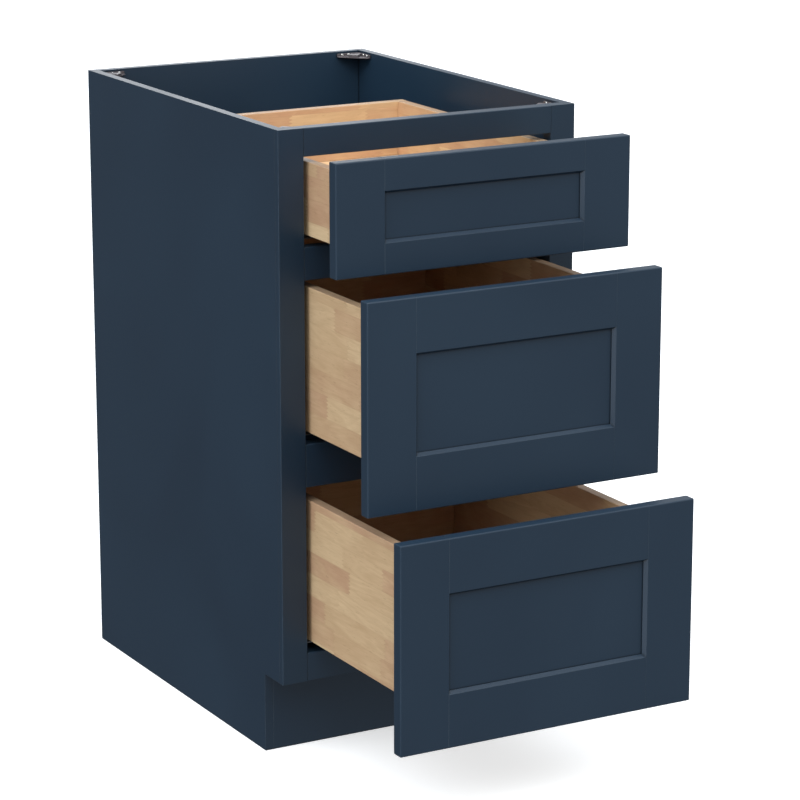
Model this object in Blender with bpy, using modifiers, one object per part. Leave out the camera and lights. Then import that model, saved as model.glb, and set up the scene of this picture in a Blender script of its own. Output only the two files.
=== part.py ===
"""Three-drawer base cabinet for a bathroom vanity, with its drawers standing part open.

World frame: metres, +Z up, the front faces -Y, and the origin is on the floor under the
middle of the whole object. Each drawer is built in its own frame, under an empty: x = 0 in
the middle, y = 0 at the back of the drawer front, z = 0 at the lower edge of the box.
"""

import math

import bmesh
import bpy
from mathutils import Matrix, Vector

# Cabinet
WIDTH = 0.4572
DEPTH = 0.6096
HEIGHT = 0.8763
PLY = 0.0127
TOE_HEIGHT = 0.112
TOE_SETBACK = 0.0547

# Face frame
FRAME_THICKNESS = 0.01905
STILE_WIDTH = 0.0381
RABBET_DEPTH = 0.0095
RAILS = {
    "face_rail_bottom": (TOE_HEIGHT, 0.1524),
    "face_rail_lower": (0.387, 0.447),
    "face_rail_upper": (0.672, 0.717),
    "face_rail_top": (0.8382, HEIGHT),
}

# Drawer fronts: five-piece, with a flat panel in grooves
FRONT_WIDTH = 0.4456
FRONT_THICKNESS = 0.0185
FRONT_STILE = 0.0713
CHAMFER_WIDTH = 0.0038
CHAMFER_DEPTH = 0.0055
GROOVE_FRONT = 0.0063
GROOVE_BACK = 0.01295
GROOVE_DEPTH = 0.0095

# Drawer boxes: dovetailed boards with a captured bottom
BOX_WIDTH = 0.365
BOX_LENGTH = 0.5334
BOARD = 0.0143
BOTTOM_RECESS = 0.0127
BOTTOM_GROOVE = 0.00665
BOTTOM_INSET = 0.00635
GROOVE_Z = (BOTTOM_RECESS, BOTTOM_RECESS + BOTTOM_GROOVE)
LAP = 0.0035
TAIL_PITCH = 0.033
TAIL_SPREAD = 0.0024

# Undermount slides of folded steel: the cabinet member's heights are measured from the lower
# edge of the drawer box, and the runner is the drawer's own member
STEEL = 0.0015
SLIDE_START = 0.012
SLIDE_LENGTH = 0.533
SLIDE_REACH = 0.040
SLIDE_CLEARANCE = 0.0006
WEB_DROP = 0.0072
FLANGE_RISE = 0.018
UPSTAND_RISE = 0.006
UPSTAND_START = 0.022
RUNNER_WIDTH = 0.022
RUNNER_CLEARANCE = 0.003
RUNNER_LIP = 0.002
NOTCH_WIDTH = 0.030

# Corner braces: flat moulded triangles with a smooth pad in the middle. Pockets and a screw
# hole lie on both sides of the pad, placed by how far they are from the corner's diagonal
# and along it.
BRACE_LEG = 0.038
BRACE_TIP = 0.006
BRACE_HEIGHT = 0.0052
BRACE_DROP = 0.0033
BRACE_FLOOR = 0.0014
POCKET_WIDTH = 0.0022
POCKETS = ((0.0110, 0.0155, 0.0275), (0.0147, 0.0190, 0.0275))
BRACE_HOLE = 0.0024
HOLE_ASIDE = 0.0205
HOLE_ALONG = 0.0262

# One row for each drawer: how far it stands open, the heights of its front's lower edge and
# of its box's lower edge, the front's and the box's height, and the front's rail width.
DRAWERS = {
    "top": (0.1304, 0.7038, 0.7315, 0.1515, 0.0985, 0.0415),
    "middle": (0.2131, 0.4077, 0.4617, 0.2832, 0.200, 0.0731),
    "bottom": (0.2988, 0.1112, 0.1668, 0.2830, 0.200, 0.0731),
}

# Clearance between neighbours, how far a cutter runs past its work, and eased edges' radii
GAP = 0.0003
OVERCUT = 0.001
EASE = 0.0010
FRONT_EASE = 0.0016

# The frame's front plane, so that the whole object is centred on the origin
BOTTOM_REACH = DRAWERS["bottom"][0] + FRONT_THICKNESS
FRAME_Y = (BOTTOM_REACH - DEPTH) / 2
SIDES = {"left": -1, "right": 1}


def clear_scene():
    for obj in list(bpy.data.objects):
        bpy.data.objects.remove(obj, do_unlink=True)


def new_collection(name):
    collection = bpy.data.collections.new(name)
    bpy.context.scene.collection.children.link(collection)
    return collection


def new_material(name, colour, roughness, metallic=0.0):
    material = bpy.data.materials.new(name)
    material.use_nodes = True
    shader = material.node_tree.nodes["Principled BSDF"]
    shader.inputs["Base Color"].default_value = (*colour, 1.0)
    shader.inputs["Roughness"].default_value = roughness
    shader.inputs["Metallic"].default_value = metallic
    return material


clear_scene()
PARTS = new_collection("vanity_cabinet")
CUTTERS = new_collection("cutters")
NAVY = new_material("navy_paint", (0.026, 0.042, 0.064), 0.38)
WOOD = new_material("box_wood", (0.51, 0.34, 0.19), 0.5)
ZINC = new_material("zinc_steel", (0.55, 0.56, 0.57), 0.35, 1.0)
PLASTIC = new_material("grey_plastic", (0.30, 0.30, 0.31), 0.5)


def add_object(name, bm, material, parent):
    """Turns the bmesh into an object whose origin is in the middle of its mesh."""
    corners = [Vector(min(v.co[i] for v in bm.verts) for i in range(3))]
    corners.append(Vector(max(v.co[i] for v in bm.verts) for i in range(3)))
    middle = (corners[0] + corners[1]) / 2
    bmesh.ops.translate(bm, vec=-middle, verts=bm.verts)
    mesh = bpy.data.meshes.new(name)
    bm.to_mesh(mesh)
    bm.free()
    obj = bpy.data.objects.new(name, mesh)
    obj.location = middle
    obj.parent = parent
    if material is None:
        CUTTERS.objects.link(obj)
        obj.hide_render = True
        obj.display_type = "WIRE"
    else:
        PARTS.objects.link(obj)
        mesh.materials.append(material)
    return obj


def side_of(face):
    """The way a face looks, such as -y, or nothing if it is slanted."""
    for axis, letter in enumerate("xyz"):
        if abs(face.normal[axis]) > 0.999:
            return ("+" if face.normal[axis] > 0 else "-") + letter
    return ""


def ease_edges(bm, edges, radius):
    """Rounds each edge where the two named sides meet, such as -y-x."""
    pairs = [{edge[:2], edge[2:]} for edge in edges]
    bm.normal_update()
    chosen = [edge for edge in bm.edges if {side_of(face) for face in edge.link_faces} in pairs]
    bmesh.ops.bevel(bm, geom=chosen, offset=radius, segments=2, profile=0.5, affect="EDGES")


def block(name, x, y, z, material=None, parent=None, eased=(), radius=EASE):
    """A box between two planes on each axis."""
    bm = bmesh.new()
    bmesh.ops.create_cube(bm, size=1.0)
    size = Vector((x[1] - x[0], y[1] - y[0], z[1] - z[0]))
    middle = Vector((x[0] + x[1], y[0] + y[1], z[0] + z[1])) / 2
    bmesh.ops.scale(bm, vec=size, verts=bm.verts)
    bmesh.ops.translate(bm, vec=middle, verts=bm.verts)
    ease_edges(bm, eased, radius)
    return add_object(name, bm, material, parent)


def draw_outlines(outlines, half_length):
    """The bmesh of flat outlines in XY, extruded both ways along Z."""
    curve = bpy.data.curves.new("outline", "CURVE")
    curve.dimensions = "2D"
    curve.fill_mode = "BOTH"
    curve.extrude = half_length
    for outline in outlines:
        spline = curve.splines.new("POLY")
        spline.points.add(len(outline) - 1)
        for point, (a, b) in zip(spline.points, outline):
            point.co = (a, b, 0.0, 1.0)
        spline.use_cyclic_u = True
    drawn = bpy.data.objects.new("outline", curve)
    CUTTERS.objects.link(drawn)
    graph = bpy.context.evaluated_depsgraph_get()
    mesh = bpy.data.meshes.new_from_object(drawn.evaluated_get(graph))
    bm = bmesh.new()
    bm.from_mesh(mesh)
    bpy.data.objects.remove(drawn)
    bpy.data.curves.remove(curve)
    bpy.data.meshes.remove(mesh)
    bmesh.ops.remove_doubles(bm, verts=bm.verts, dist=0.00001)
    bmesh.ops.dissolve_limit(bm, angle_limit=math.radians(1), verts=bm.verts, edges=bm.edges)
    bmesh.ops.recalc_face_normals(bm, faces=bm.faces)
    return bm


def prism(name, outlines, ends, axis, material=None, parent=None, eased=(), radius=EASE):
    """Outlines extruded along an axis: in (x, y) along z, in (y, z) along x, in (z, x) along y."""
    bm = draw_outlines(outlines, (ends[1] - ends[0]) / 2)
    bmesh.ops.translate(bm, vec=(0, 0, (ends[0] + ends[1]) / 2), verts=bm.verts)
    turn = {"z": Matrix.Identity(3), "x": Matrix(((0, 0, 1), (1, 0, 0), (0, 1, 0)))}
    turn["y"] = turn["x"] @ turn["x"]
    bmesh.ops.transform(bm, matrix=turn[axis].to_4x4(), verts=bm.verts)
    ease_edges(bm, eased, radius)
    return add_object(name, bm, material, parent)


def cut(obj, cutter):
    modifier = obj.modifiers.new(cutter.name, "BOOLEAN")
    modifier.operation = "DIFFERENCE"
    modifier.solver = "EXACT"
    modifier.object = cutter


def mirrored(side, low, high):
    """The stretch of X from low to high, measured outwards from the middle, on one side."""
    return (low, high) if side > 0 else (-high, -low)


# ---------------------------------------------------------------- cabinet


def make_side_panel(name, side):
    front = FRAME_Y + RABBET_DEPTH + GAP
    back = FRAME_Y + DEPTH
    notch = FRAME_Y + TOE_SETBACK
    outline = [(front, TOE_HEIGHT), (notch, TOE_HEIGHT), (notch, 0.0), (back, 0.0)]
    outline += [(back, HEIGHT), (front, HEIGHT)]
    x = mirrored(side, WIDTH / 2 - PLY, WIDTH / 2)
    prism(name, [outline], x, "x", NAVY)


def make_face_stile(name, side):
    """Its back outer edge is rabbeted, and the side panel laps into the rabbet."""
    outer = side * WIDTH / 2
    inner = side * (WIDTH / 2 - STILE_WIDTH)
    step = side * (WIDTH / 2 - PLY - GAP)
    front = FRAME_Y
    back = FRAME_Y + FRAME_THICKNESS
    rabbet = FRAME_Y + RABBET_DEPTH
    outline = [(outer, front), (inner, front), (inner, back)]
    outline += [(step, back), (step, rabbet), (outer, rabbet)]
    outside, inside = ("+x", "-x") if side > 0 else ("-x", "+x")
    eased = ["-y" + outside, "-y" + inside]
    prism(name, [outline], (TOE_HEIGHT, HEIGHT), "z", NAVY, eased=eased)


def make_cabinet():
    inside = WIDTH / 2 - PLY - GAP
    opening = WIDTH / 2 - STILE_WIDTH - GAP
    frame_back = FRAME_Y + FRAME_THICKNESS
    back = FRAME_Y + DEPTH
    toe = FRAME_Y + TOE_SETBACK
    deck_top = RAILS["face_rail_bottom"][1] - GAP
    deck_bottom = deck_top - PLY
    for word, side in SIDES.items():
        make_side_panel("side_panel_" + word, side)
        make_face_stile("face_stile_" + word, side)
    for name, z in RAILS.items():
        block(name, (-opening, opening), (FRAME_Y, frame_back), z, NAVY, eased=["-y+z", "-y-z"])
    x = (-inside, inside)
    y = (frame_back + GAP, back - PLY - GAP)
    block("back_panel", x, (back - PLY, back), (0.0, HEIGHT), NAVY)
    block("bottom_panel", x, y, (deck_bottom, deck_top), NAVY)
    block("toe_kick_board", x, (toe, toe + PLY), (0.0, deck_bottom - GAP), NAVY)


def make_brace_cutter(brace):
    """Pockets sunk from the top, and a screw hole near the end of each leg."""
    bm = bmesh.new()
    aside = Vector((-1, 1, 0)).normalized()
    along = Vector((1, 1, 0)).normalized()
    for way in (-1, 1):
        for distance, start, end in POCKETS:
            pocket = bmesh.ops.create_cube(bm, size=1.0)["verts"]
            bmesh.ops.scale(bm, vec=(POCKET_WIDTH, end - start, BRACE_HEIGHT), verts=pocket)
            bmesh.ops.rotate(bm, matrix=Matrix.Rotation(math.radians(-45), 3, "Z"), verts=pocket)
            middle = along * (start + end) / 2 + aside * way * distance
            bmesh.ops.translate(bm, vec=middle + Vector((0, 0, BRACE_FLOOR)), verts=pocket)
        hole = bmesh.ops.create_cone(
            bm, cap_ends=True, segments=16, radius1=BRACE_HOLE, radius2=BRACE_HOLE, depth=2 * BRACE_HEIGHT
        )
        spot = along * HOLE_ALONG + aside * way * HOLE_ASIDE
        bmesh.ops.translate(bm, vec=spot, verts=hole["verts"])
    bmesh.ops.recalc_face_normals(bm, faces=bm.faces)
    middle = Vector((BRACE_LEG / 2, BRACE_LEG / 2, 0))
    bmesh.ops.translate(bm, vec=-middle, verts=bm.verts)
    return add_object(brace.name + "_holes", bm, None, brace)


def make_corner_brace(name, corner, quarter_turns):
    """A triangular moulded plate that holds a corner square just below the countertop."""
    outline = [(0, 0), (BRACE_LEG, 0), (BRACE_LEG, BRACE_TIP), (BRACE_TIP, BRACE_LEG), (0, BRACE_LEG)]
    brace = prism(name, [outline], (-BRACE_HEIGHT / 2, BRACE_HEIGHT / 2), "z", PLASTIC)
    turn = Matrix.Rotation(quarter_turns * math.pi / 2, 4, "Z")
    top = HEIGHT - BRACE_DROP - BRACE_HEIGHT / 2
    brace.location = Vector((corner[0], corner[1], top)) + turn @ brace.location
    brace.rotation_euler.z = quarter_turns * math.pi / 2
    cut(brace, make_brace_cutter(brace))


def make_braces():
    x = WIDTH / 2 - PLY - GAP
    front = FRAME_Y + FRAME_THICKNESS + GAP
    back = FRAME_Y + DEPTH - PLY - GAP
    make_corner_brace("corner_brace_front_left", (-x, front), 0)
    make_corner_brace("corner_brace_front_right", (x, front), 1)
    make_corner_brace("corner_brace_back_right", (x, back), 2)
    make_corner_brace("corner_brace_back_left", (-x, back), 3)


# ---------------------------------------------------------------- drawer fronts


def sticking(width, clearance=0.0):
    """Section of a front's frame member, (in from its outer edge, back from its face).

    The inner edge is chamfered and grooved. With a clearance it is the shape that copes the
    end of a crossing member, which leaves that member a stub tenon in the groove.
    """
    face = width + clearance
    lip = face + CHAMFER_WIDTH
    floor = lip - GROOVE_DEPTH
    front = GROOVE_FRONT + clearance
    back = GROOVE_BACK - clearance
    section = [(0, -clearance), (face, -clearance)]
    if clearance:
        section.append((face, 0))
    section += [(lip, CHAMFER_DEPTH), (lip, front), (floor, front), (floor, back), (lip, back)]
    section += [(lip, FRONT_THICKNESS + clearance), (0, FRONT_THICKNESS + clearance)]
    return section


def make_front_stile(name, side, z, parent, clearance=0.0):
    """A full-height member, or its coping cutter if a clearance is given."""
    half = FRONT_WIDTH / 2
    outline = [(side * (half - u), v - FRONT_THICKNESS) for u, v in sticking(FRONT_STILE, clearance)]
    if clearance:
        return prism(name, [outline], (z[0] - OVERCUT, z[1] + OVERCUT), "z", None, parent)
    outside = "+x" if side > 0 else "-x"
    eased = [a + b for a in ("-y", "+y") for b in (outside, "+z", "-z")]
    eased += [outside + "+z", outside + "-z"]
    return prism(name, [outline], z, "z", NAVY, parent, eased, FRONT_EASE)


def make_front_rail(name, edge, width, way, parent, cutters):
    """A cross member whose section starts at the height edge and runs up or down from it."""
    outline = [(v - FRONT_THICKNESS, edge + way * u) for u, v in sticking(width)]
    reach = FRONT_WIDTH / 2 - FRONT_STILE - CHAMFER_WIDTH + GROOVE_DEPTH - GAP
    outer = "-z" if way > 0 else "+z"
    eased = ["-y" + outer, "+y" + outer]
    rail = prism(name, [outline], (-reach, reach), "x", NAVY, parent, eased, FRONT_EASE)
    for cutter in cutters:
        cut(rail, cutter)


def make_front(drawer, parent, low, height, rail_width):
    """The five-piece front of one drawer, from its lower edge up, in the drawer's frame."""
    z = (low, low + height)
    start = "drawer_" + drawer + "_front_"
    cutters = []
    for word, side in SIDES.items():
        make_front_stile(start + "stile_" + word, side, z, parent)
        cutters.append(make_front_stile(start + "cope_" + word, side, z, parent, GAP))
    make_front_rail(start + "rail_top", z[1], rail_width, -1, parent, cutters)
    make_front_rail(start + "rail_bottom", z[0], rail_width, 1, parent, cutters)
    overlap = GROOVE_DEPTH - CHAMFER_WIDTH - 2 * GAP
    half = FRONT_WIDTH / 2 - FRONT_STILE + overlap
    edge = rail_width - overlap
    y = (GROOVE_FRONT + GAP - FRONT_THICKNESS, GROOVE_BACK - GAP - FRONT_THICKNESS)
    block(start + "panel", (-half, half), y, (z[0] + edge, z[1] - edge), NAVY, parent)


# ---------------------------------------------------------------- drawer boxes


def tail_heights(height):
    count = round(height / TAIL_PITCH)
    return [height * (i + 0.5) / count for i in range(count)]


def tail(shoulder, tip, middle, clearance=0.0):
    """One dovetail in (y, z), from its narrow shoulder to its wide tip."""
    narrow = TAIL_PITCH / 4 - TAIL_SPREAD / 2 + clearance
    wide = narrow + TAIL_SPREAD
    lower = [(shoulder, middle - narrow), (tip, middle - wide)]
    return lower + [(tip, middle + wide), (shoulder, middle + narrow)]


def make_box_side(name, side, height, parent):
    shoulders = (BOARD + GAP, BOX_LENGTH - BOARD - GAP)
    outline = [(shoulders[0], 0)]
    for middle in tail_heights(height):
        outline += tail(shoulders[0], LAP, middle)
    outline += [(shoulders[0], height), (shoulders[1], height)]
    for middle in reversed(tail_heights(height)):
        outline += reversed(tail(shoulders[1], BOX_LENGTH - LAP, middle))
    outline.append((shoulders[1], 0))
    x = mirrored(side, BOX_WIDTH / 2 - BOARD, BOX_WIDTH / 2)
    board = prism(name, [outline], x, "x", WOOD, parent, ["+z-x", "+z+x"])
    inner = BOX_WIDTH / 2 - BOARD
    groove_x = mirrored(side, inner - OVERCUT, inner + BOTTOM_INSET)
    groove_y = (-OVERCUT, BOX_LENGTH + OVERCUT)
    cut(board, block(name + "_groove", groove_x, groove_y, GROOVE_Z, None, parent))


def make_box_end(name, height, parent, at_back):
    """The board behind the drawer front, or the box's back, with sockets for the tails."""
    y = (BOX_LENGTH - BOARD, BOX_LENGTH) if at_back else (GAP, BOARD)
    half = BOX_WIDTH / 2
    board = block(name, (-half, half), y, (0.0, height), WOOD, parent, ["+z-y", "+z+y"])
    if at_back:
        shoulder, tip = y[0] - OVERCUT, BOX_LENGTH - LAP + GAP
        groove_y = (y[0] - OVERCUT, y[0] + BOTTOM_INSET)
    else:
        shoulder, tip = y[1] + OVERCUT, LAP - GAP
        groove_y = (y[1] - BOTTOM_INSET, y[1] + OVERCUT)
    tails = [tail(shoulder, tip, middle, GAP) for middle in tail_heights(height)]
    for word, side in SIDES.items():
        x = mirrored(side, half - BOARD - GAP, half + OVERCUT)
        cut(board, prism(name + "_sockets_" + word, tails, x, "x", None, parent))
    groove_x = (-half - OVERCUT, half + OVERCUT)
    cut(board, block(name + "_groove", groove_x, groove_y, GROOVE_Z, None, parent))
    if at_back:
        cut_slide_notches(board, y, parent)


def cut_slide_notches(board, y, parent):
    """Opens the back's lower corners, where the slides pass under the bottom."""
    inner = BOX_WIDTH / 2 - BOARD
    y = (y[0] - OVERCUT, y[1] + OVERCUT)
    z = (-OVERCUT, BOTTOM_RECESS + OVERCUT)
    for word, side in SIDES.items():
        x = mirrored(side, inner - NOTCH_WIDTH, inner + OVERCUT)
        cut(board, block(board.name + "_notch_" + word, x, y, z, None, parent))


def make_box(drawer, parent, height):
    start = "drawer_" + drawer + "_box_"
    for word, side in SIDES.items():
        make_box_side(start + "side_" + word, side, height, parent)
    make_box_end(start + "front", height, parent, at_back=False)
    make_box_end(start + "back", height, parent, at_back=True)
    edge = BOARD - BOTTOM_INSET + 2 * GAP
    half = BOX_WIDTH / 2 - edge
    z = (BOTTOM_RECESS + GAP, BOTTOM_RECESS + BOTTOM_GROOVE - GAP)
    block(start + "bottom", (-half, half), (edge, BOX_LENGTH - edge), z, WOOD, parent)


# ---------------------------------------------------------------- slides


def folded_strip(name, path, ends, parent):
    """Steel bent along a path in (x, z) and drawn out along y between its ends."""
    bm = bmesh.new()
    points = [bm.verts.new((x, ends[0], z)) for x, z in path]
    edges = [bm.edges.new(pair) for pair in zip(points, points[1:])]
    drawn = bmesh.ops.extrude_edge_only(bm, edges=edges)["geom"]
    moved = [item for item in drawn if isinstance(item, bmesh.types.BMVert)]
    bmesh.ops.translate(bm, vec=(0, ends[1] - ends[0], 0), verts=moved)
    strip = add_object(name, bm, ZINC, parent)
    solid = strip.modifiers.new("thickness", "SOLIDIFY")
    solid.thickness = STEEL
    solid.offset = 0.0
    solid.use_even_offset = True
    return strip


def make_cabinet_member(name, side, low):
    """The fixed member: a flange on the stile's edge, a web under the box and an upstand."""
    outer = WIDTH / 2 - STILE_WIDTH - SLIDE_CLEARANCE - STEEL / 2
    inner = outer - SLIDE_REACH
    web = low - WEB_DROP
    path = [(outer, low + FLANGE_RISE), (outer, web), (inner, web), (inner, low + UPSTAND_RISE)]
    start = FRAME_Y + SLIDE_START
    ends = (start, start + SLIDE_LENGTH)
    strip = folded_strip(name, [(side * x, z) for x, z in path], ends, None)
    x = mirrored(side, inner - 2 * STEEL, inner + 2 * STEEL)
    y = (start - OVERCUT, FRAME_Y + UPSTAND_START)
    z = (web + 2 * STEEL, low + UPSTAND_RISE + OVERCUT)
    cut(strip, block(name + "_relief", x, y, z))


def make_drawer_member(name, side, parent):
    """The moving member: an inverted channel under the box bottom, astride the upstand."""
    outer = BOX_WIDTH / 2 - BOARD - RUNNER_CLEARANCE
    inner = outer - RUNNER_WIDTH
    top = BOTTOM_RECESS - GAP - STEEL / 2
    path = [(outer, RUNNER_LIP), (outer, top), (inner, top), (inner, RUNNER_LIP)]
    ends = (BOARD + 2 * GAP, BOX_LENGTH - GAP)
    folded_strip(name, [(side * x, z) for x, z in path], ends, parent)


def make_drawer(drawer, opened, front_low, box_low, front_height, box_height, rail_width):
    """One drawer under an empty that stands where its slides hold it."""
    empty = bpy.data.objects.new("drawer_" + drawer, None)
    empty.location = (0.0, FRAME_Y - opened, box_low)
    PARTS.objects.link(empty)
    make_front(drawer, empty, front_low - box_low, front_height, rail_width)
    make_box(drawer, empty, box_height)
    for word, side in SIDES.items():
        make_cabinet_member("slide_" + drawer + "_cabinet_member_" + word, side, box_low)
        make_drawer_member("slide_" + drawer + "_drawer_member_" + word, side, empty)


make_cabinet()
make_braces()
for drawer_name, sizes in DRAWERS.items():
    make_drawer(drawer_name, *sizes)
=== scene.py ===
import math

import bmesh
import bpy
from mathutils import Matrix, Vector


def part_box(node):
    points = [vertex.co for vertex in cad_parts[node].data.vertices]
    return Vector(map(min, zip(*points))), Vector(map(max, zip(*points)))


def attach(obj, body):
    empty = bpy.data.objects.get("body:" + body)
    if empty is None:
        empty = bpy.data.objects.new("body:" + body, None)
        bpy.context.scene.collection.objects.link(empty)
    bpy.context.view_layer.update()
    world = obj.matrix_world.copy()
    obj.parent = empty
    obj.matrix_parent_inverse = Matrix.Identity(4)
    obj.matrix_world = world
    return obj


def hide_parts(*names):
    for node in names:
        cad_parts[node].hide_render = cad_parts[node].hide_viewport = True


# A three-drawer base cabinet for a bathroom vanity: satin navy paint on plywood and hardwood,
# drawer boxes of finger-jointed hardwood, zinc-plated undermount slides and moulded braces.

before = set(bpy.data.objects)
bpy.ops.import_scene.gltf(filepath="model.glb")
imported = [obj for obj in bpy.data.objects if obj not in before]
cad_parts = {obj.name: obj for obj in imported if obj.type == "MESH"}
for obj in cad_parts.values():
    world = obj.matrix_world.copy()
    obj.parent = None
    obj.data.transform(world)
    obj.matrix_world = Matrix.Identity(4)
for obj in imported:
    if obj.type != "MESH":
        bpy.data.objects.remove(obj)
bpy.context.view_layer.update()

SCENE = bpy.context.scene
DRAWERS = ("top", "middle", "bottom")
SIDES = {"left": -1, "right": 1}
CABINET = "cabinet"
MM = 0.001


# ---------------------------------------------------------------- node trees


class Tree:
    """A node tree with short ways to add nodes, where a value may be a number or a socket."""

    def __init__(self, tree):
        self.tree = tree

    def node(self, kind, values=None, **settings):
        made = self.tree.nodes.new(kind)
        for key, value in settings.items():
            setattr(made, key, value)
        for key, value in (values or {}).items():
            self.put(made.inputs[key], value)
        return made

    def put(self, socket, value):
        if isinstance(value, bpy.types.NodeSocket):
            self.tree.links.new(value, socket)
        elif isinstance(value, tuple) and len(value) == 3 and socket.type == "RGBA":
            socket.default_value = (*value, 1.0)
        else:
            socket.default_value = value

    def math(self, operation, *values):
        inputs = dict(enumerate(values))
        return self.node("ShaderNodeMath", inputs, operation=operation).outputs[0]

    def combine(self, x, y, z):
        return self.node("ShaderNodeCombineXYZ", {0: x, 1: y, 2: z}).outputs[0]

    def noise(self, place, scale, detail=2.0, roughness=0.5, distortion=0.0):
        values = {"Vector": place, "Scale": scale, "Detail": detail}
        values.update({"Roughness": roughness, "Distortion": distortion})
        return self.node("ShaderNodeTexNoise", values).outputs["Fac"]

    def random(self, place):
        return self.node("ShaderNodeTexWhiteNoise", {"Vector": place}, noise_dimensions="3D")

    def remap(self, value, low, high, to_low=0.0, to_high=1.0):
        values = {"Value": value, "From Min": low, "From Max": high}
        values.update({"To Min": to_low, "To Max": to_high})
        return self.node("ShaderNodeMapRange", values).outputs["Result"]

    def mix(self, share, first, second, blend="MIX"):
        made = self.node("ShaderNodeMix", data_type="RGBA", blend_type=blend)
        for index, value in ((0, share), (6, first), (7, second)):
            self.put(made.inputs[index], value)
        return made.outputs[2]

    def bump(self, height, distance, strength=1.0, normal=None):
        values = {"Height": height, "Distance": distance, "Strength": strength}
        if normal is not None:
            values["Normal"] = normal
        return self.node("ShaderNodeBump", values).outputs["Normal"]


def new_material(name, **sockets):
    """A Principled material and its tree."""
    material = bpy.data.materials.new(name)
    material.use_nodes = True
    shader = material.node_tree.nodes["Principled BSDF"]
    tree = Tree(material.node_tree)
    for key, value in sockets.items():
        tree.put(shader.inputs[key.replace("_", " ")], value)
    return material, tree, shader


def axes_of(tree):
    """The x, y and z of the point in the row frame, as sockets."""
    place = tree.node("ShaderNodeTexCoord").outputs["Object"]
    parts = tree.node("ShaderNodeSeparateXYZ", {0: place})
    return place, dict(zip("xyz", parts.outputs))


def crevice_shade_mask(tree, reach):
    """A mask for painted shade: near 1 in the open and towards 0 deep in a narrow corner, where shade
    falls.
    """
    found = tree.node("ShaderNodeAmbientOcclusion", {"Distance": reach}, samples=6)
    return tree.remap(found.outputs["AO"], 0.60, 0.90)


def edge_mask(tree, radius):
    """Near 1 at a sharp edge and 0 on flat ground, and the rounded normal it comes from."""
    rounded = tree.node("ShaderNodeBevel", {"Radius": radius}, samples=4).outputs["Normal"]
    true = tree.node("ShaderNodeNewGeometry").outputs["Normal"]
    alike = tree.node("ShaderNodeVectorMath", {0: rounded, 1: true}, operation="DOT_PRODUCT")
    return tree.remap(alike.outputs["Value"], 0.995, 0.86), rounded


# ---------------------------------------------------------------- materials


def make_paint(name, along, shade):
    """Sprayed satin navy over wood whose grain runs along one axis."""
    material, tree, shader = new_material(name)
    place, axis = axes_of(tree)
    across = [letter for letter in "xyz" if letter != along]
    stretched = {along: tree.math("MULTIPLY", axis[along], 0.06)}
    stretched.update({letter: axis[letter] for letter in across})
    fibres = tree.noise(tree.combine(stretched["x"], stretched["y"], stretched["z"]), 520.0, 3.0)
    cloud = tree.noise(place, 3.2, 2.0, 0.55, 0.4)
    blotch = tree.noise(place, 17.0, 3.0)
    peel = tree.noise(place, 620.0, 1.0)
    deep = tuple(0.90 * value for value in shade)
    pale = (shade[0] * 1.22, shade[1] * 1.10, shade[2] * 1.04)
    base = tree.mix(tree.remap(cloud, 0.32, 0.68), deep, pale)
    base = tree.mix(tree.remap(blotch, 0.35, 0.7, 0.0, 0.22), base, shade)
    # pale edges: partly paint worn thin on the arrises, partly a painted highlight standing in for the
    # light that the rounded edges catch
    mask, rounded = edge_mask(tree, 0.6 * MM)
    worn_and_highlit_edge = tree.math("MULTIPLY", mask, tree.remap(blotch, 0.3, 0.6, 0.20, 0.65))
    base = tree.mix(worn_and_highlit_edge, base, WORN_AND_HIGHLIT_NAVY)
    # painted shade: the navy goes much darker deep in corners and creases, where shade falls
    base = tree.mix(crevice_shade_mask(tree, 3.0 * MM), tuple(0.25 * value for value in shade), base)
    tree.put(shader.inputs["Base Color"], base)
    rough = tree.remap(tree.math("ADD", cloud, tree.math("MULTIPLY", peel, 0.4)), 0.4, 1.0, 0.36, 0.47)
    rough = tree.math("SUBTRACT", rough, tree.math("MULTIPLY", mask, 0.06))
    tree.put(shader.inputs["Roughness"], rough)
    normal = tree.bump(peel, 0.05 * MM, 0.35, rounded)
    normal = tree.bump(fibres, 0.04 * MM, 0.5, normal)
    tree.put(shader.inputs["Normal"], normal)
    return material


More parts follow.
